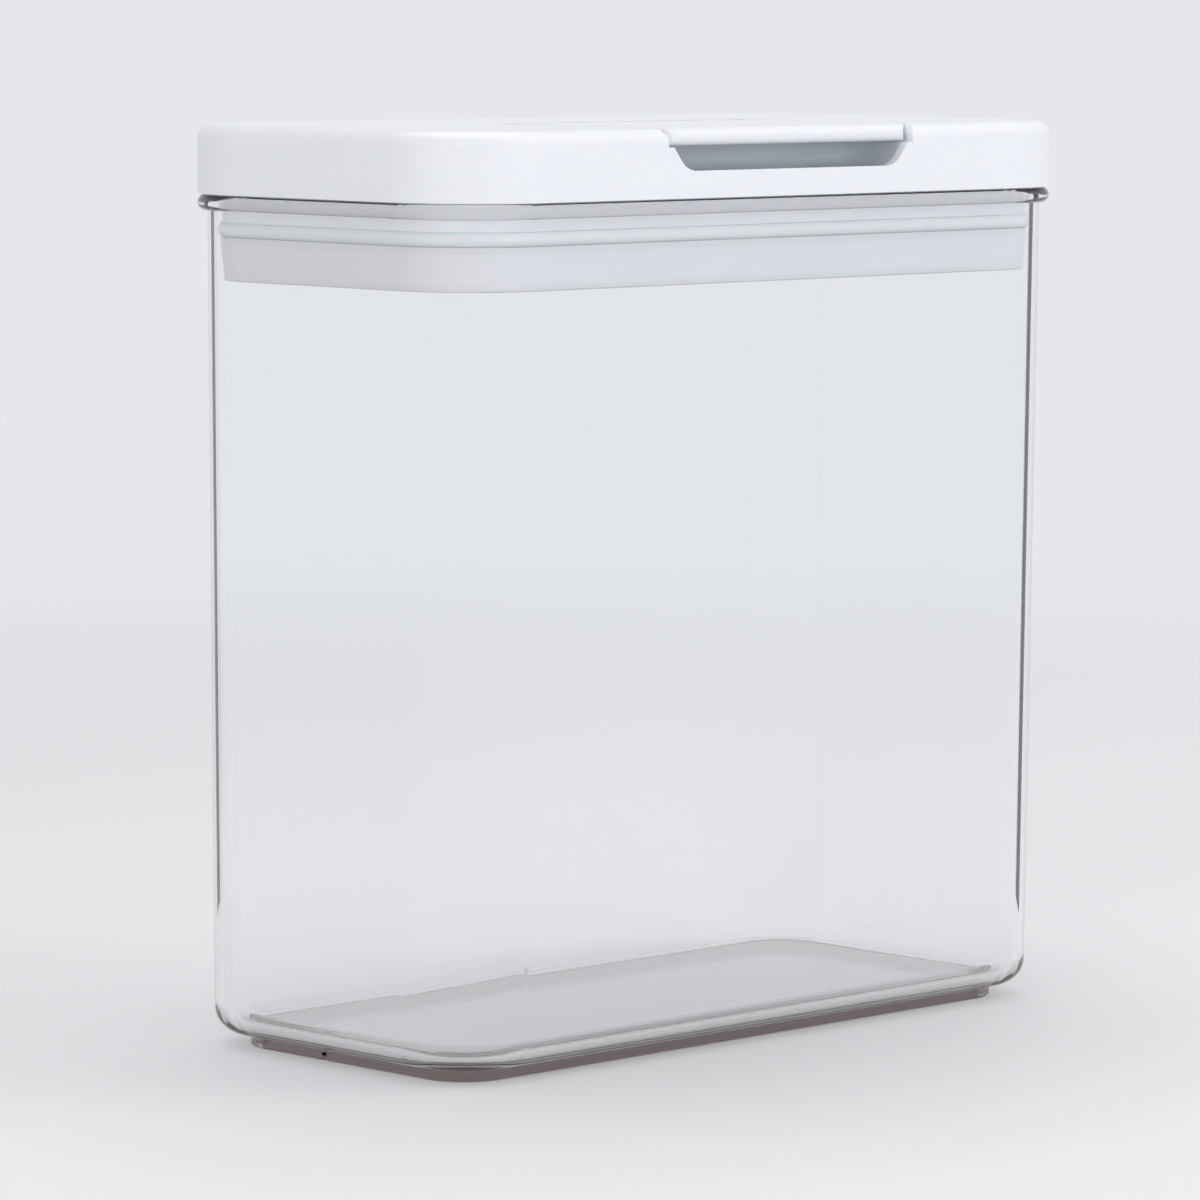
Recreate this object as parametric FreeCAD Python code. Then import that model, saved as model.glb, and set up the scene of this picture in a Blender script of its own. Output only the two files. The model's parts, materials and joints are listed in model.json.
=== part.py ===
"""Clear storage canister with a flip-lever airtight lid.

The lever's cams pull two posts up. The posts draw the plug against a silicone
gasket, which bulges out and seals on the canister's wall. All sizes are in
millimetres. Z is up, X runs along the long side and the front faces -Y.
"""
import FreeCAD
import Part
import math
import os

Vector = FreeCAD.Vector

# Shared sizes
overrun = 1.0
match_tolerance = 0.001
seat_clearance = 0.1
slide_clearance = 0.25
running_clearance = 0.05
screw_clearance = 0.02

# Canister
canister_height = 211.5
mouth_length = 220.15
mouth_width = 105.05
mouth_radius = 23.6
wall_draft = 1.62
wall_thickness = 2.3
floor_thickness = 2.6
bottom_edge_radius = 6.3
inner_edge_radius = 4.4
rim_overhang = 2.43
rim_thickness = 3.8
rim_edge_radius = 1.75
mouth_edge_radius = 0.6
foot_inset = 8.93
foot_height = 3.6
foot_wall = 3.0
foot_edge_radius = 0.8
drain_notch_width = 1.8
drain_notch_height = 2.2
drain_notch_offset = 7.0

# Lid cover
lid_gap = 0.3
cover_height = 16.9
cover_wall = 2.4
cover_top = 2.4
cover_edge_radius = 3.5
cover_inner_edge_radius = 1.5
cutout_top_length = 91.0
cutout_bottom_length = 75.0
cutout_corner_radius = 7.0
cutout_lip_height = 6.6
opening_corner_radius = 1.2
boss_radius = 3.3

# Flip lever
lever_length = 86.0
lever_plate = 2.2
lever_lip_height = 4.2
lever_lip_depth = 3.0
lever_setback = 0.9
lever_gap = 0.9
lever_corner_radius = 3.0
lever_skirt = 1.8
lever_rib = 1.6
knuckle_angle = math.radians(50.0)
knuckle_gap = 0.6
lug_thickness = 4.0
lug_gap = 0.3
lug_root_depth = 7.0
cam_heel = 0.8

# Cam and posts
axis_depth = 5.8
cam_lift = 2.0
cam_swing = math.radians(90.0)
cam_points = 9
post_radius = 3.2
post_spacing = 56.0
pin_radius = 1.5

# Lever tray
tray_depth = 11.1
tray_wall = 1.8
tray_lever_clearance = 0.3
pocket_length = 84.0
pocket_depth = 19.5
pocket_corner_radius = 11.0
pocket_floor_radius = 3.0
pocket_back_wall = 2.0
trench_depth = 1.6
trench_front = 2.2

# Lid base
base_plate_thickness = 2.8
base_fit = 0.2
collar_clearance = 1.3
collar_wall = 2.0
seal_seat_width = 9.0
seal_seat_thickness = 1.8
guide_wall = 2.4
guide_length = 6.0

# Gasket
gasket_depth = 6.7
gasket_height = 3.6
gasket_width = 7.0
gasket_wall_gap = 0.15
gasket_body_inset = 1.4
gasket_lip_height = 1.4

# Plug
seal_plate_thickness = 1.6
plug_top_clearance = 0.9
plug_bottom_clearance = 1.8
plug_depth = 21.0
plug_wall = 1.6
plug_floor = 1.6
plug_edge_radius = 0.5
plug_boss_radius = 5.6
post_ring_wall = 1.8
post_ring_height = 2.0

# Screws and caps
screw_radius = 1.3
screw_head_radius = 2.8
screw_head_height = 1.9
cover_screw_length = 10.0
cover_screw_end_inset = 24.505
cover_screw_side_inset = 20.955
rear_screw_share = 0.340909
post_screw_length = 13.0
post_screw_web = 4.0
cap_radius = 3.9
cap_height = 2.6

# Springs
spring_wire_radius = 0.5
spring_radius = 7.2
spring_turns = 4
spring_arcs_per_turn = 4

# Heights that follow from the sizes above
cover_bottom = canister_height + lid_gap
lid_top = cover_bottom + cover_height
cover_ceiling = lid_top - cover_top
base_bottom = canister_height + seat_clearance
base_top = base_bottom + base_plate_thickness
rim_bottom = canister_height - rim_thickness
floor_top = foot_height + floor_thickness
gasket_top = canister_height - gasket_depth
seal_plate_top = gasket_top - gasket_height
seal_plate_bottom = seal_plate_top - seal_plate_thickness
plug_bottom = canister_height - plug_depth
axis_height = lid_top - axis_depth
tray_floor_top = lid_top - tray_depth
lever_lip_bottom = lid_top - lever_lip_height
tray_ledge = lever_lip_bottom - tray_lever_clearance
cam_reach = axis_height - tray_floor_top - seat_clearance
cam_rate = cam_lift / cam_swing

# Plan sizes that follow
lid_length = mouth_length + rim_overhang + rim_overhang
lid_width = mouth_width + rim_overhang + rim_overhang
lid_radius = mouth_radius + rim_overhang
lid_front = -lid_width / 2
cover_inner_front = lid_front + cover_wall
lever_front = lid_front + lever_setback
opening_half = lever_length / 2 + lever_gap
opening_rear = axis_depth + knuckle_gap
post_places = (-post_spacing / 2, post_spacing / 2)
cover_screw_x = lid_length / 2 - cover_screw_end_inset
cover_screw_y = lid_width / 2 - cover_screw_side_inset
rear_screw_x = cover_screw_x * rear_screw_share
cover_screw_places = (
    (-cover_screw_x, -cover_screw_y),
    (cover_screw_x, -cover_screw_y),
    (cover_screw_x, cover_screw_y),
    (-cover_screw_x, cover_screw_y),
    (-rear_screw_x, cover_screw_y),
    (rear_screw_x, cover_screw_y),
)


def rounded_wire(length, width, radius, height):
    """A rounded rectangle about the Z axis, at one height."""
    x = length / 2
    y = width / 2
    bend = radius * (1 - math.sqrt(0.5))
    corners = ((1, 1), (-1, 1), (-1, -1), (1, -1))
    edges = []
    for i, (sx, sy) in enumerate(corners):
        tangent_x = Vector(sx * (x - radius), sy * y, height)
        tangent_y = Vector(sx * x, sy * (y - radius), height)
        middle = Vector(sx * (x - bend), sy * (y - bend), height)
        start, end = (tangent_y, tangent_x) if sx * sy > 0 else (tangent_x, tangent_y)
        edges.append(Part.Arc(start, middle, end).toShape())
        next_x, next_y = corners[(i + 1) % len(corners)]
        if next_y == sy:
            follow = Vector(next_x * (x - radius), sy * y, height)
        else:
            follow = Vector(sx * x, next_y * (y - radius), height)
        edges.append(Part.LineSegment(end, follow).toShape())
    return Part.Wire(edges)


def rounded_prism(length, width, radius, low, high):
    """An upright prism on a rounded rectangle."""
    face = Part.Face(rounded_wire(length, width, radius, low))
    return face.extrude(Vector(0, 0, high - low))


def lid_prism(inset, low, high):
    """A prism on the lid's outline, moved in all round."""
    return rounded_prism(
        lid_length - inset - inset, lid_width - inset - inset, lid_radius - inset, low, high
    )


def wall_wire(height, inset):
    """The drafted wall's outline at a height, moved in all round."""
    lean = inset + wall_draft * (rim_bottom - height) / (rim_bottom - floor_top)
    return rounded_wire(
        mouth_length - lean - lean, mouth_width - lean - lean, mouth_radius - lean, height
    )


def wall_loft(low, high, low_inset, high_inset):
    """A solid between two heights of the drafted wall, moved in at each."""
    wires = [wall_wire(low, low_inset), wall_wire(high, high_inset)]
    return Part.makeLoft(wires, True, True)


def block(x_low, x_high, y_low, y_high, z_low, z_high):
    """A box between two corners."""
    corner = Vector(x_low, y_low, z_low)
    return Part.makeBox(x_high - x_low, y_high - y_low, z_high - z_low, corner)


def rod(radius, x, y, low, high):
    """An upright round rod."""
    return Part.makeCylinder(radius, high - low, Vector(x, y, low))


def cross_rod(radius, x_low, x_high, y, z):
    """A round rod along X."""
    return Part.makeCylinder(radius, x_high - x_low, Vector(x_low, y, z), Vector(1, 0, 0))


def line(start, end):
    """A straight edge."""
    return Part.LineSegment(start, end).toShape()


def arc(start, middle, end):
    """A round edge through three points."""
    return Part.Arc(start, middle, end).toShape()


def level_edges(shape, height):
    """The edges that lie flat at one height."""
    found = []
    for edge in shape.Edges:
        box = edge.BoundBox
        if abs(box.ZMin - height) < match_tolerance and abs(box.ZMax - height) < match_tolerance:
            found.append(edge)
    return found


def level_box(edge):
    """An edge's box, brought down to the floor's height."""
    box = edge.BoundBox
    return FreeCAD.BoundBox(box.XMin, box.YMin, floor_top, box.XMax, box.YMax, floor_top)


def upright_edges(shape, keep):
    """The straight upright edges whose middle passes a test."""
    found = []
    for edge in shape.Edges:
        box = edge.BoundBox
        flat = box.XLength < match_tolerance and box.YLength < match_tolerance
        if flat and keep(edge.CenterOfMass):
            found.append(edge)
    return found


def foot_prism(inset, low, high):
    """A prism on the foot ring's outline, moved in all round."""
    step = wall_draft + foot_inset + inset
    return rounded_prism(
        mouth_length - step - step, mouth_width - step - step, mouth_radius - step, low, high
    )


def canister_body():
    """The clear drafted tub with its rim and foot ring."""
    outside = wall_loft(foot_height, rim_bottom + rim_thickness / 2, 0, 0)
    outside = outside.makeFillet(bottom_edge_radius, level_edges(outside, foot_height))
    rim = lid_prism(0, rim_bottom, canister_height)
    rim_edges = level_edges(rim, rim_bottom) + level_edges(rim, canister_height)
    rim = rim.makeFillet(rim_edge_radius, rim_edges)
    foot = foot_prism(0, 0, foot_height + floor_thickness / 2)
    foot = foot.makeFillet(foot_edge_radius, level_edges(foot, 0))
    hollow_foot = foot_prism(foot_wall, -overrun, foot_height)
    inside = wall_loft(floor_top, canister_height + overrun, wall_thickness, wall_thickness)
    inside = inside.makeFillet(inner_edge_radius, level_edges(inside, floor_top))
    body = outside.fuse([rim, foot]).cut([inside, hollow_foot])
    half_notch = drain_notch_width / 2
    for side in (-1, 1):
        outer = side * (foot.BoundBox.XMax + overrun)
        inner = side * (foot.BoundBox.XMax - foot_wall - overrun)
        middle = -side * drain_notch_offset
        notch = block(
            min(outer, inner),
            max(outer, inner),
            middle - half_notch,
            middle + half_notch,
            -overrun,
            drain_notch_height,
        )
        body = body.cut(notch)
    body = body.removeSplitter()
    wall_box = outside.BoundBox
    mouth = [e for e in level_edges(body, canister_height) if wall_box.isInside(level_box(e))]
    return body.makeFillet(mouth_edge_radius, mouth)


def cutout_prism():
    """The finger cut-out through the front wall, as a prism along Y."""
    low = cover_bottom + cutout_lip_height
    high = lid_top + overrun
    slope = (cutout_top_length - cutout_bottom_length) / 2 / (lid_top - low)
    top_half = cutout_bottom_length / 2 + slope * (high - low)
    bottom_half = cutout_bottom_length / 2
    y = lid_front - overrun
    points = [
        Vector(-top_half, y, high),
        Vector(-bottom_half, y, low),
        Vector(bottom_half, y, low),
        Vector(top_half, y, high),
    ]
    face = Part.Face(Part.makePolygon(points + points[:1]))
    prism = face.extrude(Vector(0, cover_wall + overrun, 0))
    corners = []
    for edge in prism.Edges:
        box = edge.BoundBox
        if box.XLength < match_tolerance and abs(box.ZMax - low) < match_tolerance:
            corners.append(edge)
    return prism.makeFillet(cutout_corner_radius, corners)


def cover_inside(inset, low):
    """The space inside the cover's shell, moved in from its walls and ceiling."""
    high = cover_ceiling - inset
    space = lid_prism(cover_wall + inset, low, high)
    return space.makeFillet(cover_inner_edge_radius, level_edges(space, high))


def lid_cover():
    """The white outer shell with the lever's opening and screw bosses."""
    shell = lid_prism(0, cover_bottom, lid_top)
    shell = shell.makeFillet(cover_edge_radius, level_edges(shell, lid_top))
    shell = shell.cut(cover_inside(0, cover_bottom - overrun))
    bosses = []
    pilots = []
    for x, y in cover_screw_places:
        bosses.append(rod(boss_radius, x, y, base_top, cover_ceiling + cover_top / 2))
        pilots.append(
            rod(screw_radius + screw_clearance, x, y, base_top - overrun, cover_ceiling)
        )
    opening = block(
        -opening_half,
        opening_half,
        cover_inner_front,
        opening_rear,
        cover_ceiling - overrun,
        lid_top + overrun,
    )
    rear = upright_edges(opening, lambda middle: middle.y > 0)
    opening = opening.makeFillet(opening_corner_radius, rear)
    slot = block(
        -opening_half,
        opening_half,
        lid_front - overrun,
        cover_inner_front + overrun,
        tray_ledge,
        lid_top + overrun,
    )
    return shell.fuse(bosses).cut(pilots + [opening, slot, cutout_prism()]).removeSplitter()


def lever_tray():
    """The tray under the lever: finger pocket, cam floor and knuckle trench."""
    half = opening_half + tray_wall
    front = cover_inner_front + seat_clearance
    rear = opening_rear + tray_wall
    tray = block(-half, half, cover_inner_front, rear, base_top, lid_top)
    tray = tray.common(cover_inside(seat_clearance, base_top))
    recess = block(
        -opening_half, opening_half, front - overrun, opening_rear, tray_ledge, lid_top
    )
    pocket_rear = front + pocket_depth
    pocket = block(
        -pocket_length / 2, pocket_length / 2, front - overrun, pocket_rear, tray_floor_top, lid_top
    )
    pocket_rounds = upright_edges(pocket, lambda middle: middle.y > front)
    pocket = pocket.makeFillet(pocket_corner_radius, pocket_rounds)
    pocket = pocket.makeFillet(
        pocket_floor_radius,
        [e for e in level_edges(pocket, tray_floor_top) if e.BoundBox.YMax > front],
    )
    works = block(
        -opening_half,
        opening_half,
        pocket_rear + pocket_back_wall,
        opening_rear,
        tray_floor_top,
        lid_top,
    )
    trench = block(
        -opening_half,
        opening_half,
        trench_front,
        opening_rear,
        tray_floor_top - trench_depth,
        tray_floor_top + overrun,
    )
    holes = []
    for x in post_places:
        hole_radius = post_radius + slide_clearance
        holes.append(rod(hole_radius, x, 0, base_top - overrun, tray_floor_top + overrun))
    return tray.cut([recess, pocket, works, trench] + holes)


def lid_base():
    """The plate that closes the lid, with its collar, seal seat and guides."""
    plate = lid_prism(cover_wall + base_fit, base_bottom, base_top)
    seat_top = gasket_top + seal_seat_thickness
    inner = wall_thickness + collar_clearance
    collar = wall_loft(gasket_top, base_bottom + overrun, inner, inner)
    collar_hole = wall_loft(seat_top, base_bottom, inner + collar_wall, inner + collar_wall)
    seat_hole = wall_loft(
        gasket_top - overrun, seat_top, inner + seal_seat_width, inner + seal_seat_width
    )
    base = plate.fuse(collar).cut([collar_hole, seat_hole])
    guides = []
    bores = []
    for x in post_places:
        bore_radius = post_radius + slide_clearance
        guide_low = base_bottom - guide_length
        guides.append(rod(bore_radius + guide_wall, x, 0, guide_low, base_bottom + overrun))
        bores.append(rod(bore_radius, x, 0, guide_low - overrun, base_top + overrun))
    for x, y in cover_screw_places:
        bores.append(rod(screw_radius + screw_clearance, x, y, base_bottom - overrun, base_top + overrun))
    return base.fuse(guides).cut(bores).removeSplitter()


def gasket():
    """The squeezed silicone ring: a flat band with a bulged outer lip."""
    lip_low = gasket_top - gasket_height / 2 - gasket_lip_height / 2
    lip_high = lip_low + gasket_lip_height
    reach = wall_thickness + gasket_wall_gap
    body = reach + gasket_body_inset
    bands = [
        wall_loft(seal_plate_top, lip_low, body, reach),
        wall_loft(lip_low, lip_high, reach, reach),
        wall_loft(lip_high, gasket_top, reach, body),
    ]
    ring = bands[0].fuse(bands[1:]).removeSplitter()
    inner = reach + gasket_width
    return ring.cut(wall_loft(seal_plate_top - overrun, gasket_top + overrun, inner, inner))


def seal_plate():
    """The plate that squeezes the gasket, with a ring round each post."""
    inset = wall_thickness + plug_top_clearance
    plate = wall_loft(seal_plate_bottom, seal_plate_top, inset, inset)
    rings = []
    holes = []
    for x in post_places:
        socket = post_radius + running_clearance
        ring_top = seal_plate_top + post_ring_height
        rings.append(rod(socket + post_ring_wall, x, 0, seal_plate_bottom, ring_top))
        holes.append(rod(socket, x, 0, seal_plate_top, ring_top + overrun))
        holes.append(rod(screw_radius + screw_clearance, x, 0, seal_plate_bottom - overrun, ring_top))
    return plate.fuse(rings).cut(holes)


def plug_cup():
    """The tapered translucent cup that hangs in the mouth."""
    top_inset = wall_thickness + plug_top_clearance
    bottom_inset = wall_thickness + plug_bottom_clearance
    cup = wall_loft(plug_bottom, seal_plate_bottom, bottom_inset, top_inset)
    cup = cup.makeFillet(plug_edge_radius, level_edges(cup, plug_bottom))
    hollow = wall_loft(
        plug_bottom + plug_floor, seal_plate_bottom, bottom_inset + plug_wall, top_inset + plug_wall
    )
    cup = cup.cut(hollow)
    bosses = []
    bores = []
    for x in post_places:
        head_seat = seal_plate_bottom - post_screw_web
        bosses.append(rod(plug_boss_radius, x, 0, plug_bottom + plug_floor / 2, seal_plate_bottom))
        bores.append(rod(cap_radius, x, 0, plug_bottom - overrun, head_seat))
        bores.append(rod(screw_radius + screw_clearance, x, 0, head_seat, seal_plate_bottom + overrun))
    return cup.fuse(bosses).cut(bores).removeSplitter()


def draw_post(x):
    """A post with a rounded head bored for the hinge pin."""
    post = rod(post_radius, x, 0, seal_plate_top, axis_height + post_radius)
    dome = cross_rod(post_radius, x - post_radius, x + post_radius, 0, axis_height)
    shank = rod(post_radius, x, 0, seal_plate_top, axis_height)
    eye = cross_rod(
        pin_radius + running_clearance, x - post_radius - overrun, x + post_radius + overrun, 0, axis_height
    )
    screw_top = seal_plate_bottom - post_screw_web + post_screw_length
    pilot = rod(screw_radius + screw_clearance, x, 0, seal_plate_top - overrun, screw_top + overrun)
    return post.common(dome.fuse(shank)).cut([eye, pilot])


def hinge_pin(x):
    """The steel pin through one pair of lever lugs and a post."""
    reach = post_radius + lug_gap + lug_thickness
    return cross_rod(pin_radius, x - reach, x + reach, 0, axis_height)


def at_axis(y, z):
    """A point in the lever's YZ section, measured from the hinge axis."""
    return Vector(0, y, axis_height + z)


def polar(radius, angle):
    """A point of the lever's section at an angle from the top towards the rear."""
    return at_axis(radius * math.sin(angle), radius * math.cos(angle))


def cam_point(turn):
    """A point of the cam whose lift falls in step with the lever's turn."""
    reach = cam_reach - cam_rate * turn
    y = reach * math.sin(turn) - cam_rate * math.cos(turn)
    z = -reach * math.cos(turn) - cam_rate * math.sin(turn)
    return at_axis(y, z)


def lever_section():
    """The lever's plate, bullnosed lip and rear knuckle, as one section."""
    top = axis_depth
    under = axis_depth - lever_plate
    lip_low = axis_depth - lever_lip_height
    nose = lever_lip_height / 2
    nose_y = lever_front + nose
    lip_rear = lever_front + lever_lip_depth
    edges = [
        arc(at_axis(nose_y, lip_low), at_axis(lever_front, lip_low + nose), at_axis(nose_y, top)),
        line(at_axis(nose_y, top), polar(top, 0)),
        arc(polar(top, 0), polar(top, knuckle_angle / 2), polar(top, knuckle_angle)),
        line(polar(top, knuckle_angle), polar(under, knuckle_angle)),
        arc(polar(under, knuckle_angle), polar(under, knuckle_angle / 2), polar(under, 0)),
        line(polar(under, 0), at_axis(lip_rear, under)),
        line(at_axis(lip_rear, under), at_axis(lip_rear, lip_low)),
        line(at_axis(lip_rear, lip_low), at_axis(nose_y, lip_low)),
    ]
    return Part.Face(Part.Wire(edges))


def cam_section():
    """One lug of the lever, ending in its cam."""
    under = axis_depth - lever_plate / 2
    curve = Part.BSplineCurve()
    turns = [cam_swing * i / (cam_points - 1) for i in range(cam_points)]
    curve.interpolate([cam_point(turn) for turn in turns])
    cam_start = cam_point(0)
    cam_end = cam_point(cam_swing)
    heel = Vector(0, cam_start.y - cam_heel, cam_start.z)
    root = at_axis(-lug_root_depth, under)
    rear = Vector(0, cam_end.y, axis_height + pin_radius)
    peak = at_axis(0, under)
    edges = [
        line(root, heel),
        line(heel, cam_start),
        curve.toShape(),
        line(cam_end, rear),
        line(rear, peak),
        line(peak, root),
    ]
    return Part.Face(Part.Wire(edges))


def slab(section, x_low, x_high):
    """A section in the YZ plane, run along X between two places."""
    start = section.translated(Vector(x_low, 0, 0))
    return start.extrude(Vector(x_high - x_low, 0, 0))


def flip_lever():
    """The white lever with its skirts, ribs and cam lugs."""
    half = lever_length / 2
    under = axis_height + axis_depth - lever_plate
    plate = slab(lever_section(), -half, half)
    rib_front = lever_front + lever_lip_depth / 2
    pieces = []
    for side in (-1, 1):
        edge_a = side * half
        edge_b = side * (half - lever_skirt)
        pieces.append(
            block(
                min(edge_a, edge_b),
                max(edge_a, edge_b),
                rib_front,
                -lug_root_depth,
                lever_lip_bottom,
                under + lever_plate / 2,
            )
        )
    for x in post_places:
        pieces.append(
            block(
                x - lever_rib / 2,
                x + lever_rib / 2,
                rib_front,
                -lug_root_depth,
                lever_lip_bottom,
                under + lever_plate / 2,
            )
        )
        for side in (-1, 1):
            near = x + side * (post_radius + lug_gap)
            far = near + side * lug_thickness
            pieces.append(slab(cam_section(), min(near, far), max(near, far)))
    lever = plate.fuse(pieces)
    spaces = []
    for x in post_places:
        near = post_radius + lug_gap
        reach = near + lug_thickness + overrun
        spaces.append(cross_rod(pin_radius, x - reach, x + reach, 0, axis_height))
        post_top = axis_height + post_radius + lug_gap
        spaces.append(block(x - near, x + near, 0, axis_depth, tray_floor_top, post_top))
    lever = lever.cut(spaces)
    plan_depth = lid_width
    plan = block(
        -half, half, lever_front, lever_front + plan_depth, tray_floor_top, lid_top + overrun
    )
    corners = upright_edges(plan, lambda middle: middle.y < 0)
    return lever.common(plan.makeFillet(lever_corner_radius, corners)).removeSplitter()


def screw(x, y, seat, length):
    """A pan-head screw driven upwards, its head under the seat."""
    head = rod(screw_head_radius, x, y, seat - screw_head_height, seat)
    head = head.makeFillet(screw_head_height / 2, level_edges(head, seat - screw_head_height))
    return head.fuse(rod(screw_radius, x, y, seat - screw_head_height / 2, seat + length)).removeSplitter()


def cover_screws():
    """The screws that hold the base to the cover."""
    return Part.makeCompound([screw(x, y, base_bottom, cover_screw_length) for x, y in cover_screw_places])


def post_screws():
    """The screws that hold the plug to its posts."""
    seat = seal_plate_bottom - post_screw_web
    return Part.makeCompound([screw(x, 0, seat, post_screw_length) for x in post_places])


def screw_caps():
    """The silicone caps that close the screw wells from below."""
    radius = cap_radius - running_clearance
    return Part.makeCompound([rod(radius, x, 0, plug_bottom, plug_bottom + cap_height) for x in post_places])


def return_spring(x):
    """A compression spring round a guide, pushing the plug off its seal."""
    low = seal_plate_top + seat_clearance + spring_wire_radius
    high = base_bottom - seat_clearance - spring_wire_radius
    steps = spring_turns * spring_arcs_per_turn
    half_steps = steps + steps

    def place(i):
        angle = math.tau * spring_turns * i / half_steps
        height = low + (high - low) * i / half_steps
        return Vector(x + spring_radius * math.cos(angle), spring_radius * math.sin(angle), height)

    path = Part.Wire([arc(place(i), place(i + 1), place(i + 2)) for i in range(0, half_steps, 2)])
    start = path.Edges[0]
    tangent = start.tangentAt(start.FirstParameter)
    ring = Part.Wire(Part.makeCircle(spring_wire_radius, place(0), tangent))
    sweep = Part.BRepOffsetAPI.MakePipeShell(path)
    sweep.add(ring)
    sweep.build()
    sweep.makeSolid()
    return Part.Solid(sweep.shape())


def spring_self_gap():
    """The least gap between neighbouring turns of a spring."""
    travel = base_bottom - seal_plate_top - seat_clearance - seat_clearance
    wire = spring_wire_radius + spring_wire_radius
    pitch = (travel - wire) / spring_turns
    return pitch - wire


def build():
    """All pieces by name."""
    left, right = post_places
    return {
        "canister_body": canister_body(),
        "lid_cover": lid_cover(),
        "lever_tray": lever_tray(),
        "lid_base": lid_base(),
        "gasket": gasket(),
        "seal_plate": seal_plate(),
        "plug_cup": plug_cup(),
        "draw_post_left": draw_post(left),
        "draw_post_right": draw_post(right),
        "hinge_pin_left": hinge_pin(left),
        "hinge_pin_right": hinge_pin(right),
        "flip_lever": flip_lever(),
        "return_spring_left": return_spring(left),
        "return_spring_right": return_spring(right),
        "cover_screws": cover_screws(),
        "post_screws": post_screws(),
        "screw_caps": screw_caps(),
    }


os.makedirs("parts", exist_ok=True)
for name, shape in build().items():
    shape.exportStep("parts/" + name + ".step")
    print(name, len(shape.Solids), round(shape.Volume), shape.isValid())
print("least gap between spring turns", round(spring_self_gap(), 2))
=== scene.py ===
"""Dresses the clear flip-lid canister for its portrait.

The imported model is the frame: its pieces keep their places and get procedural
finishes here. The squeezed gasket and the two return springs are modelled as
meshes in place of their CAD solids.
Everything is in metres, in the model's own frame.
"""
import json
import logging
import math
from dataclasses import dataclass, field
from enum import Enum
from typing import Any, Dict, List, Optional, Tuple, Union

import bmesh
import bpy
from mathutils import Matrix, Vector


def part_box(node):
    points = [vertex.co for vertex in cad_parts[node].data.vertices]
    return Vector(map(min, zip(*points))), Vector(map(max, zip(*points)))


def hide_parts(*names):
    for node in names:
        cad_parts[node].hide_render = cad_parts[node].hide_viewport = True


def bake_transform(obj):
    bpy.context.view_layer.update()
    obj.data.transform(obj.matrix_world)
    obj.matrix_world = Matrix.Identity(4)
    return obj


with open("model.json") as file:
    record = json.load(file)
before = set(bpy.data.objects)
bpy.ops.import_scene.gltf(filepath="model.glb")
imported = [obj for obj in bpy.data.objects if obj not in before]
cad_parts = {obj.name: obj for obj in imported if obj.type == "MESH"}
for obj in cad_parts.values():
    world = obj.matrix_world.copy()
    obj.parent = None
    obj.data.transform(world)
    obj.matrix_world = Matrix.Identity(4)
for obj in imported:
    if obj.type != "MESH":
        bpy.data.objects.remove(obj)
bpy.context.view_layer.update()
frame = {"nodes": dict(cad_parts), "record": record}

LOG = logging.getLogger("canister")
MERGE_DISTANCE = 1e-6
UP = (0.0, 0.0, 1.0)

Colour = Tuple[float, float, float]
Value = Union["Sock", float]


class Body(Enum):
    """The rigid bodies, lid and plug."""

    LID = "lid"
    PLUG = "plug"


class Slot(Enum):
    """The record's material slots."""

    CLEAR = "clear_wall"
    WHITE = "lid_white"
    TRAY = "tray_grey"
    BASE = "base_white"
    FROSTED = "plug_frosted"
    SILICONE = "silicone"
    POST = "post_white"
    STEEL = "steel"


class Sock:
    """A shader socket that Python's operators can combine."""

    def __init__(self, graph: "Graph", socket: bpy.types.NodeSocket) -> None:
        """Keeps the graph that new nodes go into, and the socket."""
        self.graph = graph
        self.socket = socket

    def _math(self, operation: str, first: Value, second: Value) -> "Sock":
        """Adds one Math node.

        Args:
            operation: The Math node's operation.
            first: The first value or socket.
            second: The second value or socket.

        Returns:
            The node's result.
        """
        return self.graph.node("ShaderNodeMath", {"operation": operation}, {0: first, 1: second})

    def __add__(self, other: Value) -> "Sock":
        """Self plus other."""
        return self._math("ADD", self, other)

    __radd__ = __add__

    def __sub__(self, other: Value) -> "Sock":
        """Self minus other."""
        return self._math("SUBTRACT", self, other)

    def __rsub__(self, other: Value) -> "Sock":
        """Other minus self."""
        return self._math("SUBTRACT", other, self)

    def __mul__(self, other: Value) -> "Sock":
        """Self times other."""
        return self._math("MULTIPLY", self, other)

    __rmul__ = __mul__

    def __pow__(self, other: Value) -> "Sock":
        """Self to a power."""
        return self._math("POWER", self, other)

    def larger(self, other: Value) -> "Sock":
        """The larger of the two."""
        return self._math("MAXIMUM", self, other)


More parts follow.
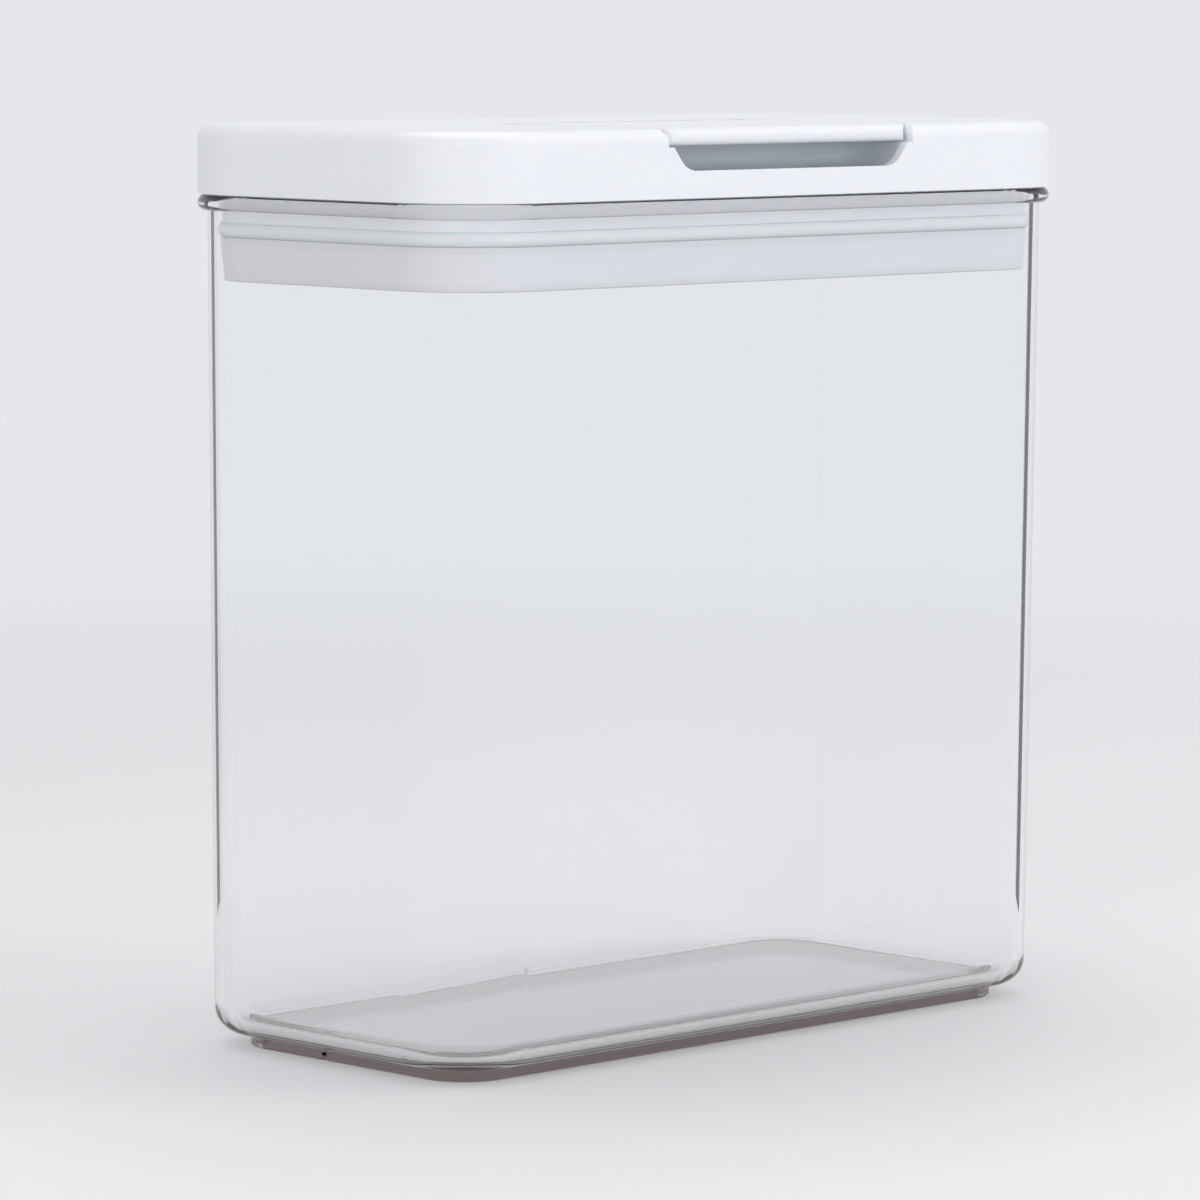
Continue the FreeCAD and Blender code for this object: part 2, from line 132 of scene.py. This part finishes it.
class Graph:
    """A node tree that is written as expressions."""

    def __init__(self, tree: bpy.types.NodeTree) -> None:
        """Empties the tree.

        Args:
            tree: The material's or world's node tree.
        """
        self.tree = tree
        tree.nodes.clear()

    def node(
        self,
        kind: str,
        settings: Optional[Dict[str, Any]] = None,
        inputs: Optional[Dict[Union[int, str], Any]] = None,
        output: Union[int, str] = 0,
    ) -> Sock:
        """Adds any node.

        Args:
            kind: The node's type.
            settings: Attributes to set first.
            inputs: Values or links by socket name or index.
            output: The output to hand back.

        Returns:
            The wanted output.
        """
        made = self.tree.nodes.new(kind)
        for name, value in (settings or {}).items():
            setattr(made, name, value)
        for key, value in (inputs or {}).items():
            if isinstance(value, Sock):
                self.tree.links.new(value.socket, made.inputs[key])
            else:
                made.inputs[key].default_value = value
        return Sock(self, made.outputs[output]) if made.outputs else Sock(self, made.inputs[0])

    def place(self) -> Sock:
        """The piece's own coordinates, in metres."""
        return self.node("ShaderNodeTexCoord", output="Object")

    def noise(self, scale: float, detail: float, where: Optional[Sock] = None) -> Sock:
        """Noise of a given fineness.

        Args:
            scale: Features per metre, roughly.
            detail: The number of octaves.
            where: The coordinates, if not the piece's own.

        Returns:
            A value from zero to one.
        """
        return self.node(
            "ShaderNodeTexNoise",
            {"noise_dimensions": "3D"},
            {"Vector": where or self.place(), "Scale": scale, "Detail": detail},
            output="Fac",
        )

    def stretched(self, scale: Tuple[float, float, float]) -> Sock:
        """The piece's coordinates, stretched for grain that runs one way."""
        return self.node(
            "ShaderNodeMapping", None, {"Vector": self.place(), "Scale": scale}, output="Vector"
        )

    def axes(self) -> Tuple[Sock, Sock, Sock]:
        """The piece's X, Y and Z, in metres."""
        where = self.place()
        x, y, z = (self.node("ShaderNodeSeparateXYZ", None, {0: where}, output=axis) for axis in "XYZ")
        return x, y, z

    def rise(self, value: Value, low: float, high: float) -> Sock:
        """A soft step from zero at low to one at high."""
        return self.node(
            "ShaderNodeMapRange",
            {"interpolation_type": "SMOOTHSTEP"},
            {"Value": value, "From Min": low, "From Max": high},
        )

    def ray(self, kind: str) -> Sock:
        """One of the light path's readings, such as Is Shadow Ray."""
        return self.node("ShaderNodeLightPath", output=kind)

    def bump(self, height: Sock) -> Sock:
        """A surface normal from a height in metres."""
        return self.node(
            "ShaderNodeBump",
            None,
            {"Height": height, "Strength": 1.0, "Distance": 1.0},
            output="Normal",
        )

    def blend(self, factor: Value, first: Any, second: Any) -> Sock:
        """A colour between two colours."""
        return self.node(
            "ShaderNodeMix", {"data_type": "RGBA"}, {"Factor": factor, 6: first, 7: second}, output=2
        )


def rgba(colour: Colour) -> Tuple[float, float, float, float]:
    """A colour with full alpha."""
    return (*colour, 1.0)


@dataclass(frozen=True)
class Finish:
    """A moulded or turned surface: clouds of tone, fine grain and a slow wave."""

    slot: Slot
    colour: Colour
    shade: Colour
    roughness: float
    roughness_spread: float
    grain_scale: float
    grain_depth: float
    grain_detail: float = 4.0
    cloud_scale: float = 25.0
    cloud_detail: float = 2.0
    wave_scale: float = 60.0
    wave_detail: float = 1.0
    wave_depth: float = 0.0
    metallic: float = 0.0
    transmission: float = 0.0
    ior: float = 1.5
    coat: float = 0.0
    coat_roughness: float = 0.08
    subsurface: float = 0.0
    subsurface_radius: float = 0.002
    grain_stretch: Tuple[float, float, float] = (1.0, 1.0, 1.0)

    def tone(self, graph: Graph) -> Sock:
        """The base colour, drifting slowly between two shades."""
        clouds = graph.noise(self.cloud_scale, self.cloud_detail)
        return graph.blend(clouds, rgba(self.colour), rgba(self.shade))

    def surface(self, graph: Graph) -> Sock:
        """Builds the shader.

        Args:
            graph: The material's graph.

        Returns:
            The shader's output.
        """
        grain = graph.noise(self.grain_scale, self.grain_detail, graph.stretched(self.grain_stretch))
        wave = graph.noise(self.wave_scale, self.wave_detail)
        height = grain * self.grain_depth + wave * self.wave_depth
        return graph.node(
            "ShaderNodeBsdfPrincipled",
            None,
            {
                "Base Color": self.tone(graph),
                "Roughness": self.roughness + (grain - 0.5) * self.roughness_spread,
                "Metallic": self.metallic,
                "IOR": self.ior,
                "Transmission Weight": self.transmission,
                "Coat Weight": self.coat,
                "Coat Roughness": self.coat_roughness,
                "Subsurface Weight": self.subsurface,
                "Subsurface Scale": self.subsurface_radius,
                "Normal": graph.bump(height),
            },
        )

    def material(self) -> bpy.types.Material:
        """Builds the material.

        Returns:
            The material, named after its slot.
        """
        made = bpy.data.materials.new(self.slot.value + "_finish")
        made.use_nodes = True
        graph = Graph(made.node_tree)
        graph.node("ShaderNodeOutputMaterial", None, {"Surface": self.surface(graph)})
        return made


@dataclass(frozen=True)
class SeeThroughFinish(Finish):
    """A finish that lets light pass, so its shadow is only a tint."""

    shadow_tint: Colour = (0.95, 0.955, 0.96)

    def surface(self, graph: Graph) -> Sock:
        """Builds the shader, and a tinted gap for shadow rays."""
        gap = graph.node("ShaderNodeBsdfTransparent", None, {"Color": rgba(self.shadow_tint)})
        return graph.node(
            "ShaderNodeMixShader",
            None,
            {"Fac": graph.ray("Is Shadow Ray"), 1: super().surface(graph), 2: gap},
        )


@dataclass(frozen=True)
class ClearFinish(SeeThroughFinish):
    """Polished clear plastic with painted shade on the foot: a dark band of colour stands in for the shade
    and dark refraction there.
    """

    # Painted shade: the foot's dark brownish band stands in for shade and dark refraction, not the
    # plastic's own colour.
    foot_painted_shade: Colour = (0.33, 0.26, 0.25)
    foot_low: float = 0.0030
    foot_high: float = 0.0042

    def tone(self, graph: Graph) -> Sock:
        """The clear tint above, and the foot's painted shade below: a dark band in place of the shade and
        dark refraction.
        """
        _, _, z = graph.axes()
        above = graph.rise(z, self.foot_low, self.foot_high)
        return graph.blend(above, rgba(self.foot_painted_shade), super().tone(graph))


FINISHES: Tuple[Finish, ...] = (
    ClearFinish(
        Slot.CLEAR, (0.985, 0.988, 0.993), (0.978, 0.982, 0.989), 0.010, 0.010, 900.0, 0.0000003,
        wave_scale=18.0, wave_depth=0.000010, transmission=1.0, ior=1.52, shadow_tint=(0.915, 0.917, 0.923),
    ),
    Finish(
        Slot.WHITE, (0.78, 0.79, 0.82), (0.765, 0.775, 0.805), 0.30, 0.06, 1500.0, 0.0000022,
        cloud_scale=18.0, coat=0.15, subsurface=0.12,
    ),
    # The tray's own pale grey, with a painted blue cast that stands in for the shade in its finger pocket.
    Finish(
        Slot.TRAY, (0.77, 0.81, 0.85), (0.75, 0.79, 0.83), 0.45, 0.08, 1900.0, 0.000004, subsurface=0.3,
    ),
    Finish(
        Slot.BASE, (0.90, 0.90, 0.925), (0.88, 0.88, 0.905), 0.42, 0.08, 1300.0, 0.000003, subsurface=0.2,
    ),
    SeeThroughFinish(
        Slot.FROSTED, (0.90, 0.905, 0.925), (0.88, 0.885, 0.908), 0.40, 0.08, 1700.0, 0.000003,
        transmission=0.15, ior=1.40, shadow_tint=(0.85, 0.85, 0.87),
    ),
    Finish(
        Slot.SILICONE, (0.87, 0.87, 0.89), (0.84, 0.84, 0.86), 0.55, 0.08, 2200.0, 0.000004,
        cloud_scale=40.0, subsurface=0.4, subsurface_radius=0.004, ior=1.41,
    ),
    Finish(
        Slot.POST, (0.80, 0.80, 0.79), (0.77, 0.77, 0.76), 0.40, 0.08, 1800.0, 0.000003, cloud_scale=60.0,
    ),
    Finish(
        Slot.STEEL, (0.62, 0.62, 0.63), (0.55, 0.55, 0.56), 0.24, 0.12, 2600.0, 0.0000015,
        cloud_scale=90.0, metallic=1.0, grain_stretch=(0.05, 1.0, 1.0),
    ),
)


@dataclass
class Paints:
    """Every finish, mixed once."""

    materials: Dict[str, bpy.types.Material] = field(default_factory=dict)

    def mix(self) -> "Paints":
        """Builds the materials."""
        for finish in FINISHES:
            self.materials[finish.slot.value] = finish.material()
        return self

    def coat(self, piece: bpy.types.Object, slot: str) -> None:
        """Gives a piece one finish all over.

        Args:
            piece: The object to dress.
            slot: The record's slot.
        """
        piece.data.materials.clear()
        piece.data.materials.append(self.materials[slot])
        LOG.info("%s: %s", piece.name, slot)


@dataclass
class Assembly:
    """CAD pieces that belong together and keep their own shapes."""

    nodes: Tuple[str, ...] = ()

    def dress(self, paints: Paints) -> None:
        """Paints each piece with its slot's finish.

        Args:
            paints: The mixed finishes.
        """
        slots = {entry["node"]: entry["material_slot"] for entry in frame["record"]["subparts"]}
        for node in self.nodes:
            paints.coat(frame["nodes"][node], slots[node])


@dataclass
class Canister(Assembly):
    """The clear tub with its rim and foot."""

    nodes: Tuple[str, ...] = ("canister_body",)


@dataclass
class LidShell(Assembly):
    """What stays still in the lid: cover, tray, base and their screws."""

    nodes: Tuple[str, ...] = ("lid_cover", "lever_tray", "lid_base", "cover_screws")


@dataclass
class FlipLever(Assembly):
    """The lever and the pins that it turns on."""

    nodes: Tuple[str, ...] = ("flip_lever", "hinge_pin_left", "hinge_pin_right")


@dataclass
class Plug(Assembly):
    """The translucent cup, its plate and the posts that lift it."""

    nodes: Tuple[str, ...] = (
        "seal_plate", "plug_cup", "draw_post_left", "draw_post_right", "post_screws", "screw_caps",
    )


@dataclass
class FlexiblePiece:
    """A piece modelled as a mesh in place of a CAD solid, between lid and plug."""

    node: str
    slot: Slot

    def shape(self, mesh: bmesh.types.BMesh) -> None:
        """Models the piece.

        Args:
            mesh: The empty bmesh to fill.
        """
        raise NotImplementedError

    def build(self, paints: Paints) -> bpy.types.Object:
        """Makes the piece, paints it and hides the CAD solid that it replaces.

        Args:
            paints: The mixed finishes.

        Returns:
            The new object.
        """
        work = bmesh.new()
        self.shape(work)
        bmesh.ops.recalc_face_normals(work, faces=work.faces)
        for face in work.faces:
            face.smooth = True
        data = bpy.data.meshes.new(self.node + "_soft")
        work.to_mesh(data)
        work.free()
        piece = bpy.data.objects.new(self.node + "_soft", data)
        bpy.context.scene.collection.objects.link(piece)
        paints.coat(piece, self.slot.value)
        low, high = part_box(self.node)
        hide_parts(self.node)
        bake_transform(piece)
        return piece


@dataclass
class Gasket(FlexiblePiece):
    """The silicone ring: a flat band with a soft bulged lip."""

    node: str = "gasket"
    slot: Slot = Slot.SILICONE
    corner_radius: float = 0.0211
    band_width: float = 0.0070
    lip_depth: float = 0.0014
    lip_steps: int = 8
    corner_steps: int = 14

    def outline(self, mesh: bmesh.types.BMesh) -> List[bmesh.types.BMEdge]:
        """Draws the ring's section at the front left bend.

        Args:
            mesh: The bmesh to draw in.

        Returns:
            The section's edges.
        """
        low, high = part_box(self.node)
        half = (high.z - low.z) / 2
        middle = low.z + half
        x = low.x + self.corner_radius
        points = [(self.band_width, -half), (self.band_width, half)]
        for step in range(self.lip_steps + 1):
            angle = math.pi * (step / self.lip_steps - 0.5)
            points.append((self.lip_depth * (1.0 - math.cos(angle)), -half * math.sin(angle)))
        ring = [mesh.verts.new((x, low.y + inset, middle + lift)) for inset, lift in points]
        return [mesh.edges.new(pair) for pair in zip(ring, ring[1:] + ring[:1])]

    def shape(self, mesh: bmesh.types.BMesh) -> None:
        """Runs the section along four sides and round four bends."""
        low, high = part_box(self.node)
        long_run = high.x - low.x - 2 * self.corner_radius
        short_run = high.y - low.y - 2 * self.corner_radius
        edges = self.outline(mesh)
        centre = Vector((low.x + self.corner_radius + long_run, low.y + self.corner_radius, 0.0))
        way = Vector((1.0, 0.0, 0.0))
        for run in (long_run, short_run, long_run, short_run):
            grown = bmesh.ops.extrude_edge_only(mesh, edges=edges)["geom"]
            moved = [item for item in grown if isinstance(item, bmesh.types.BMVert)]
            bmesh.ops.translate(mesh, verts=moved, vec=way * run)
            edges = [item for item in grown if isinstance(item, bmesh.types.BMEdge)]
            ends = set(moved)
            edges = [edge for edge in edges if all(vert in ends for vert in edge.verts)]
            turned = bmesh.ops.spin(
                mesh, geom=edges + moved, cent=centre, axis=UP,
                angle=math.pi / 2, steps=self.corner_steps, use_merge=False,
            )["geom_last"]
            edges = [item for item in turned if isinstance(item, bmesh.types.BMEdge)]
            way = Vector((-way.y, way.x, 0.0))
            centre = centre + way * (short_run if way.y else long_run)
        bmesh.ops.remove_doubles(mesh, verts=mesh.verts, dist=MERGE_DISTANCE)


@dataclass
class ReturnSpring(FlexiblePiece):
    """A wire spring with closed end turns."""

    node: str = "return_spring_left"
    slot: Slot = Slot.STEEL
    wire_radius: float = 0.0005
    wire_sides: int = 10
    end_turns: float = 0.8
    live_turns: float = 3.2
    steps_per_turn: int = 30

    def shape(self, mesh: bmesh.types.BMesh) -> None:
        """Winds the wire: a flat turn, the live turns and a flat turn."""
        low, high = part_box(self.node)
        centre = (low + high) / 2
        radius = (high.x - low.x) / 2 - self.wire_radius
        climb = high.z - low.z - 2 * self.wire_radius
        start = Matrix.Translation((centre.x + radius, centre.y, low.z + self.wire_radius))
        ring = bmesh.ops.create_circle(
            mesh, cap_ends=False, radius=self.wire_radius, segments=self.wire_sides,
            matrix=start @ Matrix.Rotation(math.pi / 2, 4, "X"),
        )["verts"]
        geometry = list(ring) + list({edge for vert in ring for edge in vert.link_edges})
        for turns, lift in ((self.end_turns, 0.0), (self.live_turns, climb), (self.end_turns, 0.0)):
            steps = round(turns * self.steps_per_turn)
            geometry = bmesh.ops.spin(
                mesh, geom=geometry, cent=centre, axis=UP, dvec=(0.0, 0.0, lift / steps),
                angle=math.tau * turns, steps=steps, use_merge=False,
            )["geom_last"]
        bmesh.ops.holes_fill(mesh, edges=mesh.edges, sides=self.wire_sides)


@dataclass(frozen=True)
class Portrait:
    """The camera, as the photograph was taken."""

    azimuth: float = math.radians(-45.14)
    elevation: float = math.radians(5.78)
    roll: float = math.radians(0.291)
    distance: float = 1.576
    aim_height: float = 0.1059
    slide_right: float = -0.00809
    slide_up: float = 0.00157
    lens: float = 186.03
    sensor: float = 36.0
    nearest: float = 0.05
    farthest: float = 50.0

    def shoot(self) -> None:
        """Places the camera and makes it the scene's own."""
        flat = math.cos(self.elevation)
        back = Vector(
            (math.sin(self.azimuth) * flat, -math.cos(self.azimuth) * flat, math.sin(self.elevation))
        )
        level = Vector((math.cos(self.azimuth), math.sin(self.azimuth), 0.0))
        upright = back.cross(level)
        right = level * math.cos(self.roll) + upright * math.sin(self.roll)
        up = upright * math.cos(self.roll) - level * math.sin(self.roll)
        place = Vector((0.0, 0.0, self.aim_height)) + right * self.slide_right
        place += up * self.slide_up + back * self.distance
        data = bpy.data.cameras.new("portrait")
        data.lens = self.lens
        data.sensor_width = self.sensor
        data.clip_start = self.nearest
        data.clip_end = self.farthest
        camera = bpy.data.objects.new("portrait", data)
        turn = Matrix((right, up, back)).transposed().to_4x4()
        camera.matrix_world = Matrix.Translation(place) @ turn
        bpy.context.scene.collection.objects.link(camera)
        bpy.context.scene.camera = camera


@dataclass(frozen=True)
class Lamp:
    """One soft area light; a glossy one also shows as a sheen."""

    name: str
    place: Tuple[float, float, float]
    aim: Tuple[float, float, float]
    width: float
    height: float
    power: float
    colour: Colour
    glossy: bool = False

    def hang(self, clear: bpy.types.Collection) -> None:
        """Adds the lamp to the scene.

        Args:
            clear: The clear pieces, which show no image of the lamp.
        """
        data = bpy.data.lights.new(self.name, "AREA")
        data.shape = "RECTANGLE"
        data.size = self.width
        data.size_y = self.height
        data.energy = self.power
        data.color = self.colour
        lamp = bpy.data.objects.new(self.name, data)
        lamp.location = self.place
        way = Vector(self.aim) - Vector(self.place)
        lamp.rotation_euler = way.to_track_quat("-Z", "Y").to_euler()
        lamp.visible_glossy = self.glossy
        lamp.light_linking.receiver_collection = clear
        bpy.context.scene.collection.objects.link(lamp)


@dataclass(frozen=True)
class Flag:
    """A dark card beside the object, which draws the outlines of clear walls.

    It shows only to light that has gone into clear plastic and out again
    (edge_depth) with a reflection between, as it does at a wall's rounded edge.
    """

    name: str
    aside: float
    behind: float = 0.15
    width: float = 0.055
    height: float = 1.0
    colour: Colour = (0.02, 0.02, 0.022)
    edge_depth: float = 2.0

    def paint(self) -> bpy.types.Material:
        """Makes the card's dark paint.

        Returns:
            The material.
        """
        made = bpy.data.materials.new(self.name + "_card")
        made.use_nodes = True
        graph = Graph(made.node_tree)
        dark = graph.node("ShaderNodeBsdfDiffuse", None, {"Color": rgba(self.colour)})
        gap = graph.node("ShaderNodeBsdfTransparent")
        past = graph.ray("Transmission Depth") - self.edge_depth
        edge = (1.0 - past * past).larger(0.0) * graph.ray("Glossy Depth")
        both = graph.node("ShaderNodeMixShader", None, {"Fac": edge, 1: gap, 2: dark})
        graph.node("ShaderNodeOutputMaterial", None, {"Surface": both})
        return made

    def stand(self, heading: float) -> None:
        """Sets the card up behind the object.

        Args:
            heading: The camera's azimuth.
        """
        face = Matrix.Rotation(heading, 4, "Z")
        face = face @ Matrix.Translation((self.aside, self.behind, self.height / 2))
        face = face @ Matrix.Rotation(math.pi / 2, 4, "X")
        shape = bmesh.new()
        bmesh.ops.create_grid(shape, x_segments=1, y_segments=1, size=0.5)
        bmesh.ops.scale(shape, vec=(self.width, self.height, 1.0), verts=shape.verts)
        bmesh.ops.transform(shape, matrix=face, verts=shape.verts)
        mesh = bpy.data.meshes.new(self.name)
        shape.to_mesh(mesh)
        shape.free()
        card = bpy.data.objects.new(self.name, mesh)
        bpy.context.scene.collection.objects.link(card)
        mesh.materials.append(self.paint())
        card.visible_camera = False
        card.visible_diffuse = False
        card.visible_shadow = False


@dataclass
class Studio:
    """A pale floor that fades into its pale surroundings, and soft light."""

    floor_half: float = 6.0
    fade_start: float = 0.35
    fade_end: float = 1.30
    backdrop: Colour = (0.787, 0.802, 0.830)
    sky_light: float = 0.44
    floor_colour: Colour = (0.825, 0.825, 0.832)
    floor_roughness: float = 0.75
    speck_scale: float = 400.0
    speck_detail: float = 3.0
    speck_share: float = 0.985
    clear_node: str = "canister_body"
    lamps: Tuple[Lamp, ...] = (
        Lamp("key", (1.25, -1.05, 1.15), (0.0, 0.0, 0.1), 1.3, 1.3, 14.5, (0.98, 0.99, 1.0)),
        Lamp("fill", (-1.5, -0.7, 0.8), (0.0, 0.0, 0.12), 1.3, 1.3, 12.0, (1.0, 0.99, 0.98)),
        Lamp("front", (-0.2, -1.8, 0.36), (0.0, 0.0, 0.2), 1.2, 0.5, 7.0, (0.96, 0.98, 1.0)),
        Lamp("top", (0.1, 0.3, 1.7), (0.0, 0.0, 0.2), 1.4, 1.4, 11.5, (1.0, 1.0, 1.0), glossy=True),
    )
    flags: Tuple[Flag, ...] = (
        Flag("flag_left", -0.213),
        Flag("flag_right", 0.213),
    )

    def floor(self) -> None:
        """Lays the floor."""
        shape = bmesh.new()
        bmesh.ops.create_grid(shape, x_segments=1, y_segments=1, size=self.floor_half)
        mesh = bpy.data.meshes.new("floor")
        shape.to_mesh(mesh)
        shape.free()
        floor = bpy.data.objects.new("floor", mesh)
        bpy.context.scene.collection.objects.link(floor)
        mesh.materials.append(self.paper())

    def paper(self) -> bpy.types.Material:
        """Makes the floor's matt paper, which turns into the backdrop far out.

        Returns:
            The floor's material.
        """
        made = bpy.data.materials.new("floor_paper")
        made.use_nodes = True
        graph = Graph(made.node_tree)
        speck = graph.noise(self.speck_scale, self.speck_detail)
        darker = tuple(tone * self.speck_share for tone in self.floor_colour)
        colour = graph.blend(speck, rgba(self.floor_colour), rgba(darker))
        near = graph.node(
            "ShaderNodeBsdfPrincipled", None, {"Base Color": colour, "Roughness": self.floor_roughness}
        )
        far = graph.node("ShaderNodeEmission", None, {"Color": rgba(self.backdrop), "Strength": 1.0})
        x, y, _ = graph.axes()
        away = graph.rise((x * x + y * y) ** 0.5, self.fade_start, self.fade_end)
        both = graph.node("ShaderNodeMixShader", None, {"Fac": away, 1: near, 2: far})
        graph.node("ShaderNodeOutputMaterial", None, {"Surface": both})
        return made

    def world(self) -> None:
        """Sets the pale surroundings."""
        world = bpy.data.worlds.new("pale_room")
        bpy.context.scene.world = world
        world.use_nodes = True
        graph = Graph(world.node_tree)
        seen = graph.ray("Is Camera Ray").larger(graph.ray("Is Glossy Ray"))
        seen = seen.larger(graph.ray("Is Transmission Ray"))
        strength = self.sky_light + seen * (1.0 - self.sky_light)
        light = graph.node(
            "ShaderNodeBackground", None, {"Color": rgba(self.backdrop), "Strength": strength}
        )
        graph.node("ShaderNodeOutputWorld", None, {"Surface": light})

    def spared(self) -> bpy.types.Collection:
        """Names the clear pieces that the lamps pass by.

        Returns:
            The collection for the lamps' light linking.
        """
        clear = bpy.data.collections.new("clear_pieces")
        clear.objects.link(frame["nodes"][self.clear_node])
        clear.collection_objects[0].light_linking.link_state = "EXCLUDE"
        return clear

    def build(self, heading: float) -> None:
        """Builds floor, surroundings, lamps and cards.

        Args:
            heading: The camera's azimuth.
        """
        self.floor()
        self.world()
        clear = self.spared()
        for lamp in self.lamps:
            lamp.hang(clear)
        for flag in self.flags:
            flag.stand(heading)


def main() -> None:
    """Builds the scene in order and reports each piece."""
    logging.basicConfig(level=logging.INFO, format="%(name)s: %(message)s")
    bpy.context.scene.view_settings.view_transform = "Standard"
    portrait = Portrait()
    portrait.shoot()
    Studio().build(portrait.azimuth)
    paints = Paints().mix()
    for assembly in (Canister(), LidShell(), FlipLever(), Plug()):
        assembly.dress(paints)
    for piece in (Gasket(), ReturnSpring(), ReturnSpring(node="return_spring_right")):
        piece.build(paints)


if __name__ == "__main__":
    main()
